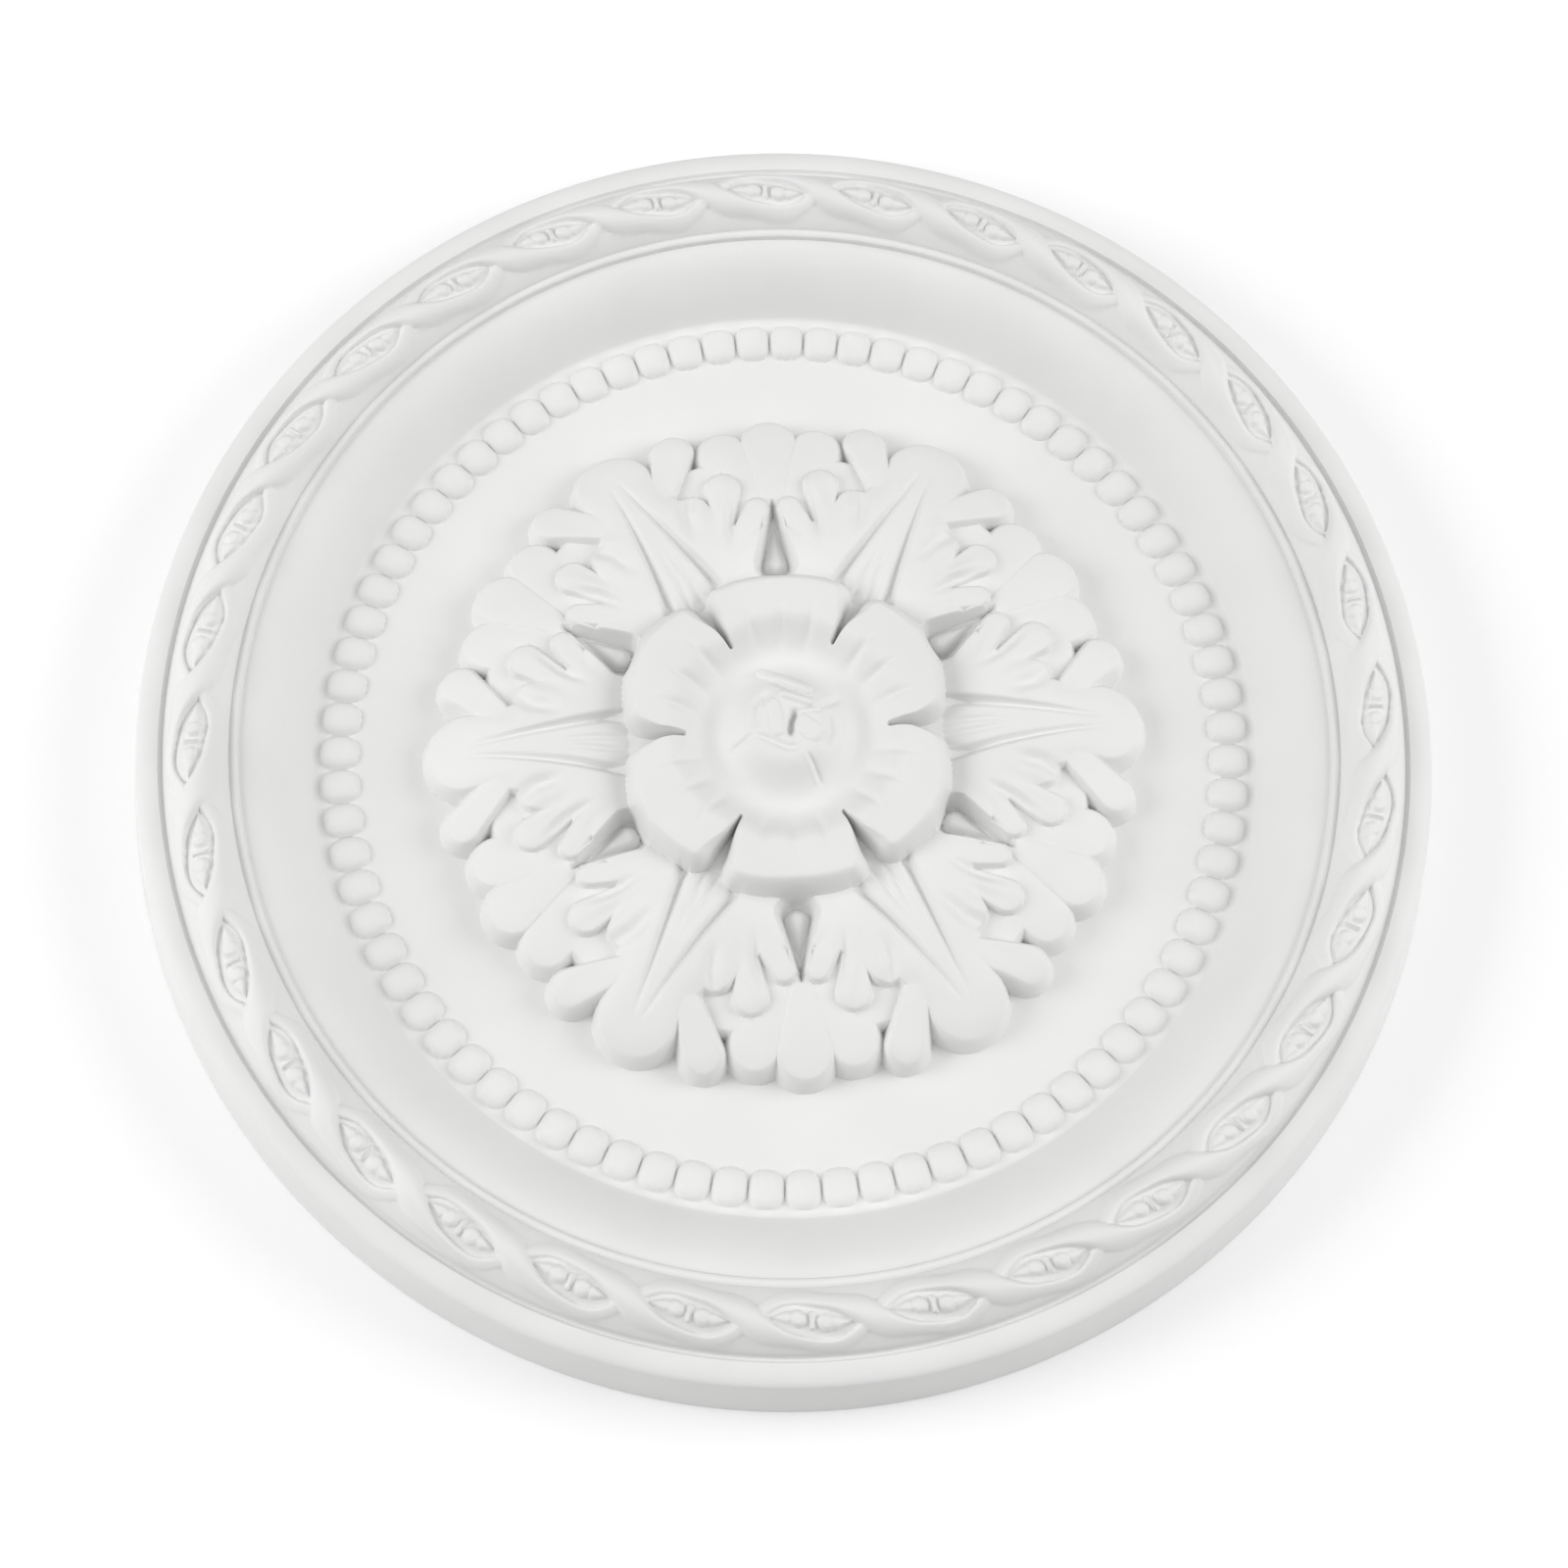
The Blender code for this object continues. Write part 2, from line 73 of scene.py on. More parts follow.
# Foam: a faintly cloudy white, shallow waves and a fine grain
FOAM_DARK = (0.757, 0.757, 0.751, 1.0)
FOAM_PALE = (0.790, 0.790, 0.784, 1.0)
FOAM_ROUGHNESS = (0.48, 0.62)
CLOUD_SCALE = 22.0
WAVE_SCALE = 45.0
WAVE_DEPTH = 0.00025
GRAIN_SCALE = 1400.0
GRAIN_DEPTH = 0.00006

# Wall, outer band and groove
BACK_RADIUS = 0.250
EDGE_RADIUS = 0.245
EDGE_HEIGHT = 0.0298
BAND_WIDTH = 0.0088
BAND_RISE = 0.0032
GROOVE_WIDTH = 0.0024
GROOVE_DEPTH = 0.0018

# Round moulding under the ribbons, and the thin bead line inside it
TORUS_WIDTH = 0.0245
TORUS_RISE = 0.0087
TORUS_FULLNESS = 0.8
LINE_WIDTH = 0.0032
LINE_RISE = 0.0008

# Slope down to the field
SLOPE_WIDTH = 0.0262
SLOPE_BEND = 1.9
SLOPE_FOOT_BLEND = 0.0022
FIELD_HEIGHT = 0.010

# Twisted ribbons
EYE_COUNT = 32
EYE_TURN = radians(-1.1)
RIBBON_HALF_WIDTH = 0.0026
RIBBON_OUTER_HALF_WIDTH = 0.0022
RIBBON_CROSS_HALF_WIDTH = 0.0050
RIBBON_EDGE_GAP = 0.0013
RIBBON_RISE = 0.0020
RIBBON_CROSS_RISE = 0.0010
RIBBON_FULLNESS = 0.10
RIBBON_SQUARENESS = 2.6
RIBBON_ROUNDNESS = 0.6
BRAID_SHIFT = 0.0008
EYE_SINK = 0.0010
EYE_TILT = 0.0013
FLOWER_RISE = 0.0019

# Pearls
PEARL_COUNT = 79
PEARL_FILL = 0.98
PEARL_RISE = 0.0040
PEARL_SQUARENESS = 2.6
PEARL_GAP = 0.0016
PEARL_LENGTH = 1.13
PEARL_FULLNESS = 0.62

# Rosette: its carving is given in shares of its reach and of its rise above the field
PLAIN_FIELD_WIDTH = 0.0279
ROSETTE_RISE = 0.0310
LEAF_COUNT = 6
LEAF_ROLL = 0.100
LEAF_CROWN = 0.74
LEAF_CROWN_REACH = 0.63
LEAF_BEND = 3.2
LEAF_INNER_BEND = 5.7
COLLAR_REACH = 0.64
BACK_LEAF_CROWN = 0.575
BACK_LEAF_BEND = 3.1
BACK_LEAF_SHOULDER_DROP = 0.018
BACK_LEAF_BED_DROP = 0.032
BACK_LEAF_BED_REACH = 0.875
LEAF_WALL = 0.030
BOWL_FLOOR = 0.650
BUD_REACH = 0.180
BUD_RISE = 0.315
RIB_CREASE_DEPTH = 0.180
RIB_CREASE_WIDTH = 0.0130
DROP_FLOOR = 0.290
DROP_SEED_RISE = 0.160
BUD_JOINT = 1.18
PETAL_CROWN = 0.985
PETAL_CORNER = 0.060
PETAL_FLUTES = (-15.0, 0.0, 15.0)
PETAL_FLUTE_DEPTH = 0.105
BOWL_WALL = (0.215, 0.340)

# How far out the petals end, by the bearing from the nearer side: the flower isn't quite round
PETAL_ENDS = ((0.0, 0.447), (10.0, 0.457), (22.0, 0.482), (34.0, 0.497), (46.0, 0.486),
              (60.0, 0.476), (75.0, 0.474), (90.0, 0.468))

# One side of a leaf's midrib, from the middle of the rosette to the leaf's tip
RIB_EDGE = ((0.40, 0.086), (0.50, 0.074), (0.60, 0.056),
            (0.70, 0.040), (0.80, 0.025), (0.90, 0.013))

# Soft flutes of a leaf's lobes: points along each, its half width and its depth
LEAF_FLUTES = (
    (((0.55, 0.130), (0.66, 0.180), (0.78, 0.275)), 0.028, 0.045),
    (((0.52, 0.160), (0.62, 0.215), (0.70, 0.285)), 0.016, 0.080),
    (((0.47, 0.150), (0.56, 0.240), (0.64, 0.330)), 0.026, 0.030),
    (((0.72, 0.075), (0.82, 0.130), (0.96, 0.245)), 0.034, 0.045),
    (((0.60, 0.090), (0.70, 0.120), (0.80, 0.190)), 0.022, 0.085),
)

# Folds of the bud, in shares of its reach: both ends, the radius at each end, and the rise
BUD_FOLDS = (
    ((-0.34, 0.96), (0.32, 0.60), 0.090, 0.110, 0.055),
    ((-0.03, 0.50), (0.36, 0.36), 0.080, 0.080, 0.040),
    ((-0.20, 0.34), (-0.14, -0.08), 0.110, 0.100, 0.030),
    ((0.22, 0.02), (0.38, -0.12), 0.150, 0.170, 0.025),
    ((0.23, -0.46), (0.40, -0.86), 0.050, 0.040, 0.018),
)

# Creases of the bud: points along each, its half width and its depth
BUD_CREASES = (
    (((0.16, 0.28), (0.08, 0.06), (0.02, -0.22)), 0.060, 0.150),
    (((-0.20, 0.64), (-0.44, 0.34), (-0.52, -0.12)), 0.080, 0.065),
    (((-0.26, 0.80), (0.08, 0.60), (0.46, 0.42)), 0.050, 0.050),
    (((0.18, 0.21), (0.36, 0.23), (0.58, 0.22)), 0.040, 0.042),
    (((0.44, 0.24), (0.66, 0.36), (0.90, 0.52)), 0.070, 0.045),
    (((0.64, 0.34), (0.66, -0.10), (0.50, -0.44)), 0.080, 0.050),
    (((-0.60, -0.08), (-0.30, -0.21), (0.0, -0.36), (0.24, -0.36)), 0.050, 0.045),
    (((-0.92, -0.33), (-0.70, -0.22), (-0.48, -0.08)), 0.050, 0.032),
    (((0.28, -0.42), (0.38, -0.62), (0.52, -0.95)), 0.045, 0.038),
)

# Fineness: columns round the turned blank, the step between its rows, and the faces that are kept
COLUMNS = 1896
ROW_STEP = 0.0006
FACE_BUDGET = 190000
SHARP_ANGLE = radians(50)

# Margins: what counts as the flat back, and how far past the leaves the rosette's carving is worked out
BACK_TOLERANCE = 0.00002
ROSETTE_MARGIN = 1.045

# Radii that follow from the widths above, from the edge inwards
GROOVE_OUTER = EDGE_RADIUS - BAND_WIDTH
TORUS_OUTER = GROOVE_OUTER - GROOVE_WIDTH
TORUS_INNER = TORUS_OUTER - TORUS_WIDTH
TORUS_MIDDLE = (TORUS_OUTER + TORUS_INNER) / 2
SLOPE_TOP = TORUS_INNER - LINE_WIDTH
SLOPE_FOOT = SLOPE_TOP - SLOPE_WIDTH
TORUS_FOOT_HEIGHT = EDGE_HEIGHT + BAND_RISE
BRAID_MIDDLE = TORUS_MIDDLE + BRAID_SHIFT
EYE_STEP = tau * BRAID_MIDDLE / EYE_COUNT
PEARL_RING = (SLOPE_FOOT - PEARL_GAP) / (1 + pi * PEARL_FILL * PEARL_LENGTH / PEARL_COUNT)
PEARL_RADIUS = PEARL_RING * pi * PEARL_FILL / PEARL_COUNT
ROSETTE_REACH = PEARL_RING - PEARL_RADIUS - PLAIN_FIELD_WIDTH


# Small tools of the carver

def smooth_max(a, b, blend):
    """The higher of two surfaces, with a fillet of about the blend's size where they meet."""
    near = np.clip(0.5 + 0.5 * (a - b) / blend, 0.0, 1.0)
    return b + (a - b) * near + blend * near * (1.0 - near)


def smooth_step(low, high, value):
    t = np.clip((value - low) / (high - low), 0.0, 1.0)
    return t * t * (3.0 - 2.0 * t)


def capsule(x, y, start, end, start_radius, end_radius):
    """Signed distance, negative inside, to a round-ended bar that may taper."""
    dx = end[0] - start[0]
    dy = end[1] - start[1]
    along = ((x - start[0]) * dx + (y - start[1]) * dy) / (dx * dx + dy * dy)
    along = np.clip(along, 0.0, 1.0)
    away = np.hypot(x - start[0] - along * dx, y - start[1] - along * dy)
    return away - start_radius - along * (end_radius - start_radius)


def near_line(x, y, points):
    """Distance to a line through the points, and how far along it the nearest place is, 0 to 1."""
    spans = list(zip(points[:-1], points[1:]))
    best = np.full(np.shape(x), np.inf)
    place = np.zeros(np.shape(x))
    for index, (start, end) in enumerate(spans):
        dx = end[0] - start[0]
        dy = end[1] - start[1]
        along = np.clip(((x - start[0]) * dx + (y - start[1]) * dy) / (dx * dx + dy * dy), 0.0, 1.0)
        away = np.hypot(x - start[0] - along * dx, y - start[1] - along * dy)
        place = np.where(away < best, (index + along) / len(spans), place)
        best = np.minimum(best, away)
    return best, place


def cut_groove(x, y, points, width, fade=0.25):
    """Share of a groove's depth at each place: 1 on its line, fading out at both ends."""
    away, place = near_line(x, y, points)
    ends = smooth_step(0.0, fade, place) * smooth_step(0.0, fade, 1.0 - place)
    return ends * np.exp(-(away / width) ** 2)


def pillow(distance, roundness):
    """Rise of a form from its outline, 0 outside and 1 well inside, with a rounded shoulder."""
    inside = np.clip(-distance / roundness, 0.0, 1.0)
    return (1.0 - (1.0 - inside) ** 2) ** 0.75


# The turned blank

def face_profile():
    """Radius and height of the turned face, from the middle to the edge."""
    rows = []
    rows += [(radius, FIELD_HEIGHT) for radius in np.arange(0.0, ROSETTE_REACH * 1.04, ROW_STEP)]
    rows += [(radius, FIELD_HEIGHT) for radius in np.linspace(ROSETTE_REACH * 1.05,
                                                              PEARL_RING - PEARL_RADIUS * 1.3, 5)]
    pearl_rows = np.linspace(-1.2, 1.2, 33)
    rows += [(PEARL_RING + share * PEARL_RADIUS, FIELD_HEIGHT) for share in pearl_rows]
    for share in np.linspace(0.0, 1.0, 33)[1:]:
        radius = SLOPE_FOOT + share * SLOPE_WIDTH
        rows.append((radius, slope_height(radius)))
    for share in np.linspace(0.0, 1.0, 13):
        radius = SLOPE_TOP + share * LINE_WIDTH
        height = TORUS_FOOT_HEIGHT + LINE_RISE * np.sin(pi * share)
        rows.append((radius + 0.0002, height))
    for share in np.linspace(0.0, 1.0, 61)[1:]:
        radius = TORUS_INNER + share * TORUS_WIDTH
        height = TORUS_FOOT_HEIGHT + TORUS_RISE * np.sin(pi * share) ** TORUS_FULLNESS
        rows.append((radius, height))
    for share in np.linspace(0.0, 1.0, 11)[1:]:
        radius = TORUS_OUTER + share * GROOVE_WIDTH
        rows.append((radius, TORUS_FOOT_HEIGHT - GROOVE_DEPTH * np.sin(pi * share)))
    for share in np.linspace(0.0, 1.0, 21)[1:]:
        radius = GROOVE_OUTER + BAND_WIDTH * np.sin(share * pi / 2)
        rows.append((radius, EDGE_HEIGHT + BAND_RISE * np.cos(share * pi / 2)))
    return rows


def slope_height(radius):
    """The slope bulges at its top and lands on the field in a small hollow."""
    share = (SLOPE_TOP - radius) / SLOPE_WIDTH
    rise = TORUS_FOOT_HEIGHT - LINE_RISE - FIELD_HEIGHT
    bulge = FIELD_HEIGHT - SLOPE_FOOT_BLEND / 2 + rise * (1.0 - share ** SLOPE_BEND)
    return float(smooth_max(bulge, FIELD_HEIGHT, SLOPE_FOOT_BLEND))


def turned_blank(collection):
    """A mesh of the whole blank: face, wall and flat back, turned about the vertical axis."""
    rows = face_profile()
    rows += [(BACK_RADIUS, 0.0), (0.0, 0.0)]
    points = [(radius, 0.0, height) for radius, height in rows]
    edges = [(index, index + 1) for index in range(len(points) - 1)]
    mesh = bpy.data.meshes.new("blank profile")
    mesh.from_pydata(points, edges, [])
    profile = bpy.data.objects.new("blank profile", mesh)
    collection.objects.link(profile)
    screw = profile.modifiers.new("Turn", "SCREW")
    screw.axis = "Z"
    screw.steps = COLUMNS
    screw.render_steps = COLUMNS
    screw.use_merge_vertices = True
    screw.merge_threshold = 0.0001
    depsgraph = bpy.context.evaluated_depsgraph_get()
    turned = bpy.data.meshes.new_from_object(profile.evaluated_get(depsgraph))
    bpy.data.objects.remove(profile, do_unlink=True)
    return turned


# Carving of the face: each function takes places and gives heights

def braid(radius, angle, ground):
    """Two ribbons that cross between the eyes. The one that runs outwards passes over, and swells."""
    turns = (angle - EYE_TURN) / tau * EYE_COUNT
    across = radius - BRAID_MIDDLE - EYE_TILT * np.sin(2 * pi * turns)
    swing = TORUS_OUTER - RIBBON_EDGE_GAP - RIBBON_OUTER_HALF_WIDTH - BRAID_MIDDLE
    wave = (1.0 + RIBBON_FULLNESS) * np.cos(pi * turns) - RIBBON_FULLNESS * np.cos(3 * pi * turns)
    slant = (1.0 + RIBBON_FULLNESS) * np.sin(pi * turns) - 3 * RIBBON_FULLNESS * np.sin(3 * pi * turns)
    straight = 1.0 / np.hypot(1.0, swing * slant * pi / EYE_STEP)
    between = np.abs(across) < swing * np.abs(wave)
    floor = ground - EYE_SINK * between
    place = (turns - np.round(turns)) * EYE_STEP
    height = floor + flower(place, across)
    for side in (1.0, -1.0):
        over = side * -np.sin(pi * turns)
        half_width = RIBBON_HALF_WIDTH + (RIBBON_OUTER_HALF_WIDTH - RIBBON_HALF_WIDTH) * side * wave
        swell = (RIBBON_CROSS_HALF_WIDTH - RIBBON_HALF_WIDTH) * np.clip(over, 0.0, 1.0) ** 3
        away = np.abs(across - side * swing * wave) * straight / (half_width + swell)
        top = ground + RIBBON_RISE + RIBBON_CROSS_RISE * over
        body = np.clip(1.0 - away ** RIBBON_SQUARENESS, 0.0, 1.0) ** RIBBON_ROUNDNESS
        ribbon = floor + (top - floor) * body
        height = np.where(away < 1.0, np.maximum(height, ribbon), height)
    return height


def flower(along, across):
    """A bar between two round petals, with a pointed leaf at each end of the eye."""
    bar = pillow(capsule(along, across, (0.0, -0.0026), (0.0, 0.0026), 0.0008, 0.0008), 0.0008)
    petal = pillow(np.hypot(np.abs(along) - 0.0050, across) - 0.0033, 0.0020)
    leaf = pillow(capsule(np.abs(along), across, (0.0090, 0.0), (0.0140, 0.0), 0.0024, 0.0005), 0.0018)
    return FLOWER_RISE * np.maximum(np.maximum(bar, petal), 0.8 * leaf)


def pearls(radius, angle):
    """Height above the field of a ring of rounded square pearls."""
    step = tau / PEARL_COUNT
    along = (angle / step - np.round(angle / step)) * step * PEARL_RING / PEARL_RADIUS
    across = (radius - PEARL_RING) / PEARL_RADIUS / PEARL_LENGTH
    size = np.abs(along) ** PEARL_SQUARENESS + np.abs(across) ** PEARL_SQUARENESS
    return PEARL_RISE * np.clip(1.0 - size, 0.0, 1.0) ** PEARL_FULLNESS


def fold_angle(angle, count, turn=0.0):
    """The angle from the nearest of several evenly spaced axes."""
    step = tau / count
    return (angle - turn + step / 2) % step - step / 2


def leaf_outline(x, y):
    """Signed distance to one main leaf and the collar that joins it to its neighbours."""
    collar = np.hypot(x, y) - COLLAR_REACH
    tip = capsule(x, y, (0.84, 0.0), (0.893, 0.0), 0.126, 0.132)
    stem = capsule(x, y, (0.50, 0.0), (0.84, 0.0), 0.22, 0.126)
    upper = capsule(x, y, (0.80, 0.100), (0.905, 0.203), 0.058, 0.076)
    middle = capsule(x, y, (0.62, 0.190), (0.716, 0.252), 0.054, 0.070)
    lower = capsule(x, y, (0.53, 0.180), (0.612, 0.300), 0.060, 0.053)
    joint = capsule(x, y, (0.50, 0.289), (0.567, 0.327), 0.060, 0.053)
    blade = capsule(x, y, (0.55, 0.130), (0.695, 0.130), 0.130, 0.080)
    outline = np.minimum(np.minimum(collar, joint), np.minimum(stem, blade))
    outline = np.minimum(outline, tip)
    outline = np.minimum(np.minimum(outline, upper), np.minimum(middle, lower))
    return outline


def main_leaves(reach, fold):
    """Share of the rosette's rise of the six leaves in front."""
    x = reach * np.cos(fold)
    y = np.abs(reach * np.sin(fold))
    bend = np.where(reach > LEAF_CROWN_REACH, LEAF_BEND, LEAF_INNER_BEND)
    crown = LEAF_CROWN - bend * (reach - LEAF_CROWN_REACH) ** 2 - 0.45 * y ** 2 / (0.3 + reach)
    for points, width, depth in LEAF_FLUTES:
        crown = crown - depth * cut_groove(x, y, points, width, 0.40)
    outline = leaf_outline(x, y)
    leaf = crown * pillow(outline, LEAF_WALL) - LEAF_ROLL * (1.0 - pillow(outline, 0.085))
    away, place = near_line(x, y, RIB_EDGE)
    width = RIB_CREASE_WIDTH * (1.0 - 0.5 * place)
    crease = RIB_CREASE_DEPTH * (1.0 - place) ** 0.9 * np.exp(-(away / width) ** 2)
    inside = smooth_step(-0.004, 0.014, rib_half_width(reach) - y) * smooth_step(0.86, 0.60, reach)
    spine = cut_groove(x, y, [(0.40, 0.022), (0.52, 0.016), (0.68, 0.006)], 0.008, 0.5)
    return leaf - crease - 0.030 * inside - 0.035 * spine


def rib_half_width(reach):
    reaches, half_widths = zip(*RIB_EDGE)
    return np.interp(reach, reaches, half_widths)


def drop_hollow(reach, gap_fold):
    """Outline and floor of the drop-shaped hollow between two leaves, with a seed in it."""
    x = reach * np.cos(gap_fold)
    y = np.abs(reach * np.sin(gap_fold))
    outline = capsule(x, y, (0.515, 0.0), (0.700, 0.0), 0.060, 0.005)
    seed = capsule(x, y, (0.525, 0.0), (0.660, 0.0), 0.036, 0.003)
    floor = DROP_FLOOR + DROP_SEED_RISE * pillow(seed, 0.030)
    return outline, floor


def back_leaves(reach, gap_fold):
    """Share of the rise of the smaller leaves that show behind the gaps."""
    x = reach * np.cos(gap_fold)
    y = np.abs(reach * np.sin(gap_fold))
    middle = capsule(x, y, (0.66, 0.0), (0.893, 0.0), 0.042, 0.099)
    shoulder = capsule(x, y, (0.66, 0.08), (0.868, 0.135), 0.085, 0.092)
    crown = BACK_LEAF_CROWN - BACK_LEAF_BEND * np.clip(reach - 0.70, 0.0, 1.0) ** 2 - y ** 2
    front = crown * pillow(middle, 0.030) - LEAF_ROLL / 2 * (1.0 - pillow(middle, 0.080))
    side = (crown - BACK_LEAF_SHOULDER_DROP) * pillow(shoulder, 0.030)
    side = side - LEAF_ROLL / 2 * (1.0 - pillow(shoulder, 0.080))
    bed = (crown - BACK_LEAF_BED_DROP) * pillow(reach - BACK_LEAF_BED_REACH, 0.030)
    return np.maximum(front, np.maximum(side, bed))


def petals(reach, gap_fold, angle):
    """Share of the rise of the six petals round the bud, and their outline."""
    x = reach * np.cos(gap_fold)
    along = reach * np.sin(gap_fold)
    turn = np.degrees(np.arctan2(np.abs(np.sin(angle)), np.abs(np.cos(angle))))
    bearings, reaches = zip(*PETAL_ENDS)
    ends = np.interp(turn, bearings, reaches)
    edge = reach - ends + PETAL_CORNER
    parting = 0.018 * smooth_step(0.27, 0.43, reach) - 0.004
    side = reach * np.sin(np.abs(gap_fold) - pi / LEAF_COUNT) + parting + PETAL_CORNER
    side = side - 0.07 * smooth_step(0.285, 0.255, reach)
    outline = np.hypot(np.clip(edge, 0.0, None), np.clip(side, 0.0, None)) - PETAL_CORNER
    outline = outline + np.minimum(np.maximum(edge, side), 0.0)
    crown = PETAL_CROWN - 3.0 * (reach - 0.34) ** 2 - 1.7 * along ** 2 * smooth_step(0.26, 0.36, reach)
    for bearing in PETAL_FLUTES:
        ray = radians(bearing)
        line = [(0.22 * np.cos(ray), 0.22 * np.sin(ray)), (0.38 * np.cos(ray), 0.38 * np.sin(ray))]
        away, place = near_line(x, along, line)
        width = 0.020 - 0.012 * place
        crown = crown - PETAL_FLUTE_DEPTH * (1.0 - place) * np.exp(-(away / width) ** 2)
    bowl = smooth_step(*BOWL_WALL, reach)
    return BOWL_FLOOR + (crown - BOWL_FLOOR) * bowl, outline


def rosebud(reach, angle):
    """Share of the rise of the bud in the middle: a low dome with folds and creases cut in it."""
    x = reach * np.cos(angle) / BUD_REACH
    y = reach * np.sin(angle) / BUD_REACH
    height = BOWL_FLOOR + BUD_RISE * (1.0 - smooth_step(0.45, BUD_JOINT, np.hypot(x, y)))
    for start, end, start_radius, end_radius, rise in BUD_FOLDS:
        height = height + rise * pillow(capsule(x, y, start, end, start_radius, end_radius), 0.08)
    for points, width, depth in BUD_CREASES:
        height = height - depth * cut_groove(x, y, points, width, 0.3)
    return height


def rosette(radius, angle):
    """Height above the field of the whole rosette."""
    reach = radius / ROSETTE_REACH
    leaf_fold = fold_angle(angle, LEAF_COUNT)
    gap_fold = fold_angle(angle, LEAF_COUNT, pi / LEAF_COUNT)
    height = np.maximum(main_leaves(reach, leaf_fold), back_leaves(reach, gap_fold))
    hollow, floor = drop_hollow(reach, gap_fold)
    wall = floor + (height - floor) * smooth_step(-0.026, 0.008, hollow)
    height = np.minimum(height, np.maximum(wall, floor))
    petal, outline = petals(reach, gap_fold, angle)
    shoulder = 0.015 + 0.027 * smooth_step(0.34, 0.43, reach)
    height = height + (petal - height) * pillow(outline, shoulder)
    height = np.where(reach < BUD_JOINT * BUD_REACH, rosebud(reach, angle), height)
    return ROSETTE_RISE * np.clip(height, 0.0, None)


def carve(mesh):
    """Moves the points of the turned face up or down by the carving."""
    points = np.empty(len(mesh.vertices) * 3)
    mesh.vertices.foreach_get("co", points)
    points = points.reshape(-1, 3)
    radius = np.hypot(points[:, 0], points[:, 1])
    angle = np.arctan2(points[:, 1], points[:, 0])
    face = (points[:, 2] > FIELD_HEIGHT / 2) & (radius < EDGE_RADIUS)
    ring = face & (radius > TORUS_INNER) & (radius < TORUS_OUTER)
    points[ring, 2] = braid(radius[ring], angle[ring], points[ring, 2])
    beads = face & (radius < SLOPE_FOOT)
    points[beads, 2] += pearls(radius[beads], angle[beads])
    middle = face & (radius < ROSETTE_REACH * ROSETTE_MARGIN)
    points[middle, 2] += rosette(radius[middle], angle[middle])
    mesh.vertices.foreach_set("co", points.ravel())
    mesh.update()


def open_back(mesh):
    """Takes the flat back off, so that thinning the faces leaves it alone."""
    shape = bmesh.new()
    shape.from_mesh(mesh)
    back = [face for face in shape.faces if face.calc_center_median().z < BACK_TOLERANCE]
    bmesh.ops.delete(shape, geom=back, context="FACES")
    shape.to_mesh(mesh)
    shape.free()


def close_back(mesh):
    """Puts the back on again as one flat face."""
    shape = bmesh.new()
    shape.from_mesh(mesh)
    rim = [edge for edge in shape.edges if edge.is_boundary]
    for edge in rim:
        for point in edge.verts:
            point.co.z = 0.0
    made = bmesh.ops.holes_fill(shape, edges=rim, sides=0)
    for face in made["faces"]:
        face.smooth = False
    shape.to_mesh(mesh)
    shape.free()


def foam_material():
    material = bpy.data.materials.new("white moulded foam")
    material.use_nodes = True
    nodes = material.node_tree.nodes
    links = material.node_tree.links
    shader = nodes["Principled BSDF"]
    place = nodes.new("ShaderNodeTexCoord")
    cloudy = nodes.new("ShaderNodeTexNoise")
    cloudy.inputs["Scale"].default_value = CLOUD_SCALE
    cloudy.inputs["Detail"].default_value = 4.0
    links.new(place.outputs["Object"], cloudy.inputs["Vector"])
    tint = nodes.new("ShaderNodeValToRGB")
    tint.color_ramp.elements[0].position = 0.30
    tint.color_ramp.elements[0].color = FOAM_DARK
    tint.color_ramp.elements[1].position = 0.70
    tint.color_ramp.elements[1].color = FOAM_PALE
    links.new(cloudy.outputs["Fac"], tint.inputs["Fac"])
    links.new(tint.outputs["Color"], shader.inputs["Base Color"])
    gloss = nodes.new("ShaderNodeMapRange")
    gloss.inputs["To Min"].default_value = FOAM_ROUGHNESS[0]
    gloss.inputs["To Max"].default_value = FOAM_ROUGHNESS[1]
    links.new(cloudy.outputs["Fac"], gloss.inputs["Value"])
    links.new(gloss.outputs["Result"], shader.inputs["Roughness"])
    waves = nodes.new("ShaderNodeTexNoise")
    waves.inputs["Scale"].default_value = WAVE_SCALE
    waves.inputs["Detail"].default_value = 2.0
    links.new(place.outputs["Object"], waves.inputs["Vector"])
    uneven = nodes.new("ShaderNodeBump")
    uneven.inputs["Strength"].default_value = 0.5
    uneven.inputs["Distance"].default_value = WAVE_DEPTH
    links.new(waves.outputs["Fac"], uneven.inputs["Height"])
    grain = nodes.new("ShaderNodeTexNoise")
    grain.inputs["Scale"].default_value = GRAIN_SCALE
    grain.inputs["Detail"].default_value = 3.0
    links.new(place.outputs["Object"], grain.inputs["Vector"])
    skin = nodes.new("ShaderNodeBump")
    skin.inputs["Strength"].default_value = 0.25
    skin.inputs["Distance"].default_value = GRAIN_DEPTH
    links.new(grain.outputs["Fac"], skin.inputs["Height"])
    links.new(uneven.outputs["Normal"], skin.inputs["Normal"])
    links.new(skin.outputs["Normal"], shader.inputs["Normal"])
    shader.inputs["Specular IOR Level"].default_value = 0.4
    return material


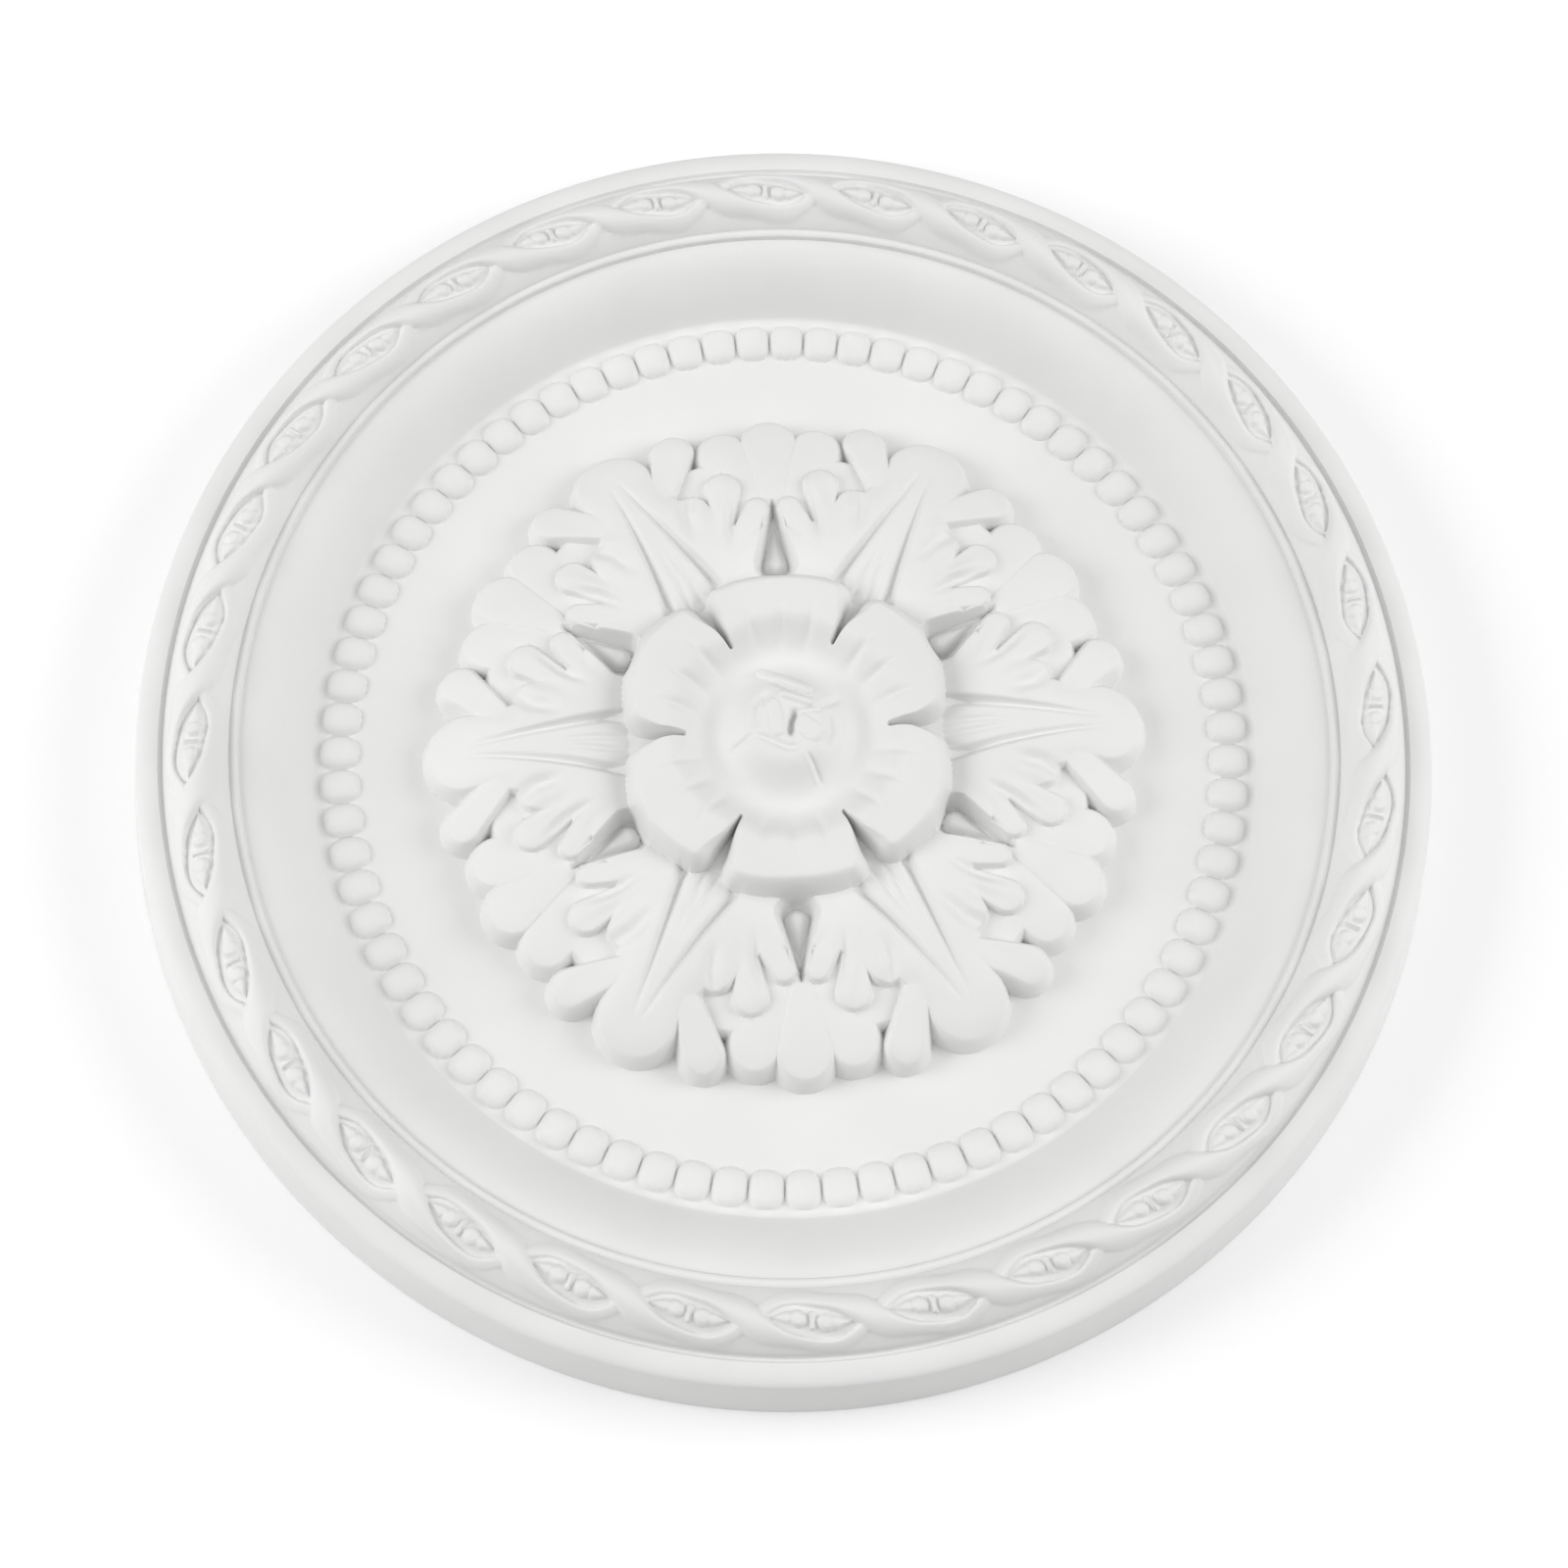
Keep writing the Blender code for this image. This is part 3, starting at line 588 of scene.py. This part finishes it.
def ceiling_rose():
    mesh = turned_blank(bpy.context.scene.collection)
    carve(mesh)
    open_back(mesh)
    mesh.name = "carved_rose"
    mesh.materials.clear()
    mesh.materials.append(foam_material())
    mesh.shade_smooth()
    rose = bpy.data.objects.new("carved_rose", mesh)
    bpy.context.scene.collection.objects.link(rose)
    thin = rose.modifiers.new("Spare faces", "DECIMATE")
    thin.decimate_type = "COLLAPSE"
    thin.ratio = FACE_BUDGET / (len(mesh.polygons) * 2)
    thin.use_collapse_triangulate = True
    bpy.context.view_layer.objects.active = rose
    depsgraph = bpy.context.evaluated_depsgraph_get()
    thinned = bpy.data.meshes.new_from_object(rose.evaluated_get(depsgraph))
    rose.modifiers.clear()
    rose.data = thinned
    rose.data.name = "carved_rose"
    rose.data.shade_smooth()
    close_back(rose.data)
    rose.data.set_sharp_from_angle(angle=SHARP_ANGLE)
    even = rose.modifiers.new("Flat faces keep their own normals", "WEIGHTED_NORMAL")
    even.keep_sharp = True
    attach(rose, "root")
    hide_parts("moulded_rose")
    return rose


def floor():
    sides = ((-1, -1), (1, -1), (1, 1), (-1, 1))
    corners = [(x * FLOOR_HALF, y * FLOOR_HALF, -FLOOR_GAP) for x, y in sides]
    mesh = bpy.data.meshes.new("floor")
    mesh.from_pydata(corners, [], [(0, 1, 2, 3)])
    plane = bpy.data.objects.new("floor", mesh)
    material = bpy.data.materials.new("pale floor")
    material.use_nodes = True
    shader = material.node_tree.nodes["Principled BSDF"]
    shader.inputs["Base Color"].default_value = FLOOR_COLOUR
    shader.inputs["Roughness"].default_value = 0.9
    shader.inputs["Specular IOR Level"].default_value = 0.1
    mesh.materials.append(material)
    bpy.context.scene.collection.objects.link(plane)


def softbox(name, place, power):
    """A round soft lamp that points at the middle of the rose."""
    lamp = bpy.data.lights.new(name, "AREA")
    lamp.shape = "DISK"
    lamp.size = SOFTBOX_SIZE
    lamp.energy = power
    box = bpy.data.objects.new(name, lamp)
    box.location = place
    box.rotation_euler = (-Vector(place)).to_track_quat("-Z", "Y").to_euler()
    bpy.context.scene.collection.objects.link(box)


def studio():
    world = bpy.data.worlds.new("studio")
    world.use_nodes = True
    nodes = world.node_tree.nodes
    links = world.node_tree.links
    direction = nodes.new("ShaderNodeTexCoord")
    split = nodes.new("ShaderNodeSeparateXYZ")
    links.new(direction.outputs["Generated"], split.inputs["Vector"])
    lift = nodes.new("ShaderNodeMapRange")
    lift.inputs["From Min"].default_value = SKY_LIFT[0]
    lift.inputs["From Max"].default_value = SKY_LIFT[1]
    lift.inputs["To Min"].default_value = LOW_SKY
    lift.inputs["To Max"].default_value = HIGH_SKY
    links.new(split.outputs["Z"], lift.inputs["Value"])
    squared = nodes.new("ShaderNodeMath")
    squared.operation = "MULTIPLY"
    links.new(split.outputs["Y"], squared.inputs[0])
    links.new(split.outputs["Y"], squared.inputs[1])
    dim = nodes.new("ShaderNodeMapRange")
    dim.inputs["From Min"].default_value = SKY_DIMMING[0]
    dim.inputs["From Max"].default_value = SKY_DIMMING[1]
    dim.inputs["To Min"].default_value = 1.0
    dim.inputs["To Max"].default_value = DIM_SKY
    links.new(squared.outputs["Value"], dim.inputs["Value"])
    strength = nodes.new("ShaderNodeMath")
    strength.operation = "MULTIPLY"
    links.new(lift.outputs["Result"], strength.inputs[0])
    links.new(dim.outputs["Result"], strength.inputs[1])
    nodes["Background"].inputs["Color"].default_value = (1.0, 1.0, 1.0, 1.0)
    links.new(strength.outputs["Value"], nodes["Background"].inputs["Strength"])
    bpy.context.scene.world = world
    bpy.context.scene.view_settings.view_transform = "Standard"
    softbox("left softbox", (-SOFTBOX_OUT, SOFTBOX_BACK, SOFTBOX_UP), LEFT_POWER)
    softbox("right softbox", (SOFTBOX_OUT, SOFTBOX_BACK, SOFTBOX_UP), RIGHT_POWER)


def camera():
    """The photograph's view: nearly face on, a little from below, with the camera slightly rolled."""
    azimuth = radians(CAMERA_AZIMUTH)
    elevation = radians(CAMERA_ELEVATION)
    back = Vector((sin(azimuth) * cos(elevation), -cos(azimuth) * cos(elevation), sin(elevation)))
    right = Vector((cos(azimuth), sin(azimuth), 0.0))
    turn = Matrix((right, back.cross(right), back)).transposed().to_4x4()
    eye = bpy.data.objects.new("camera", bpy.data.cameras.new("camera"))
    eye.data.sensor_width = 36.0
    eye.data.lens = CAMERA_LENS
    place = Vector(CAMERA_TARGET) + back * CAMERA_DISTANCE
    eye.matrix_world = Matrix.Translation(place) @ turn @ Matrix.Rotation(radians(CAMERA_ROLL), 4, "Z")
    bpy.context.scene.collection.objects.link(eye)
    bpy.context.scene.camera = eye


camera()
studio()
floor()
ceiling_rose()
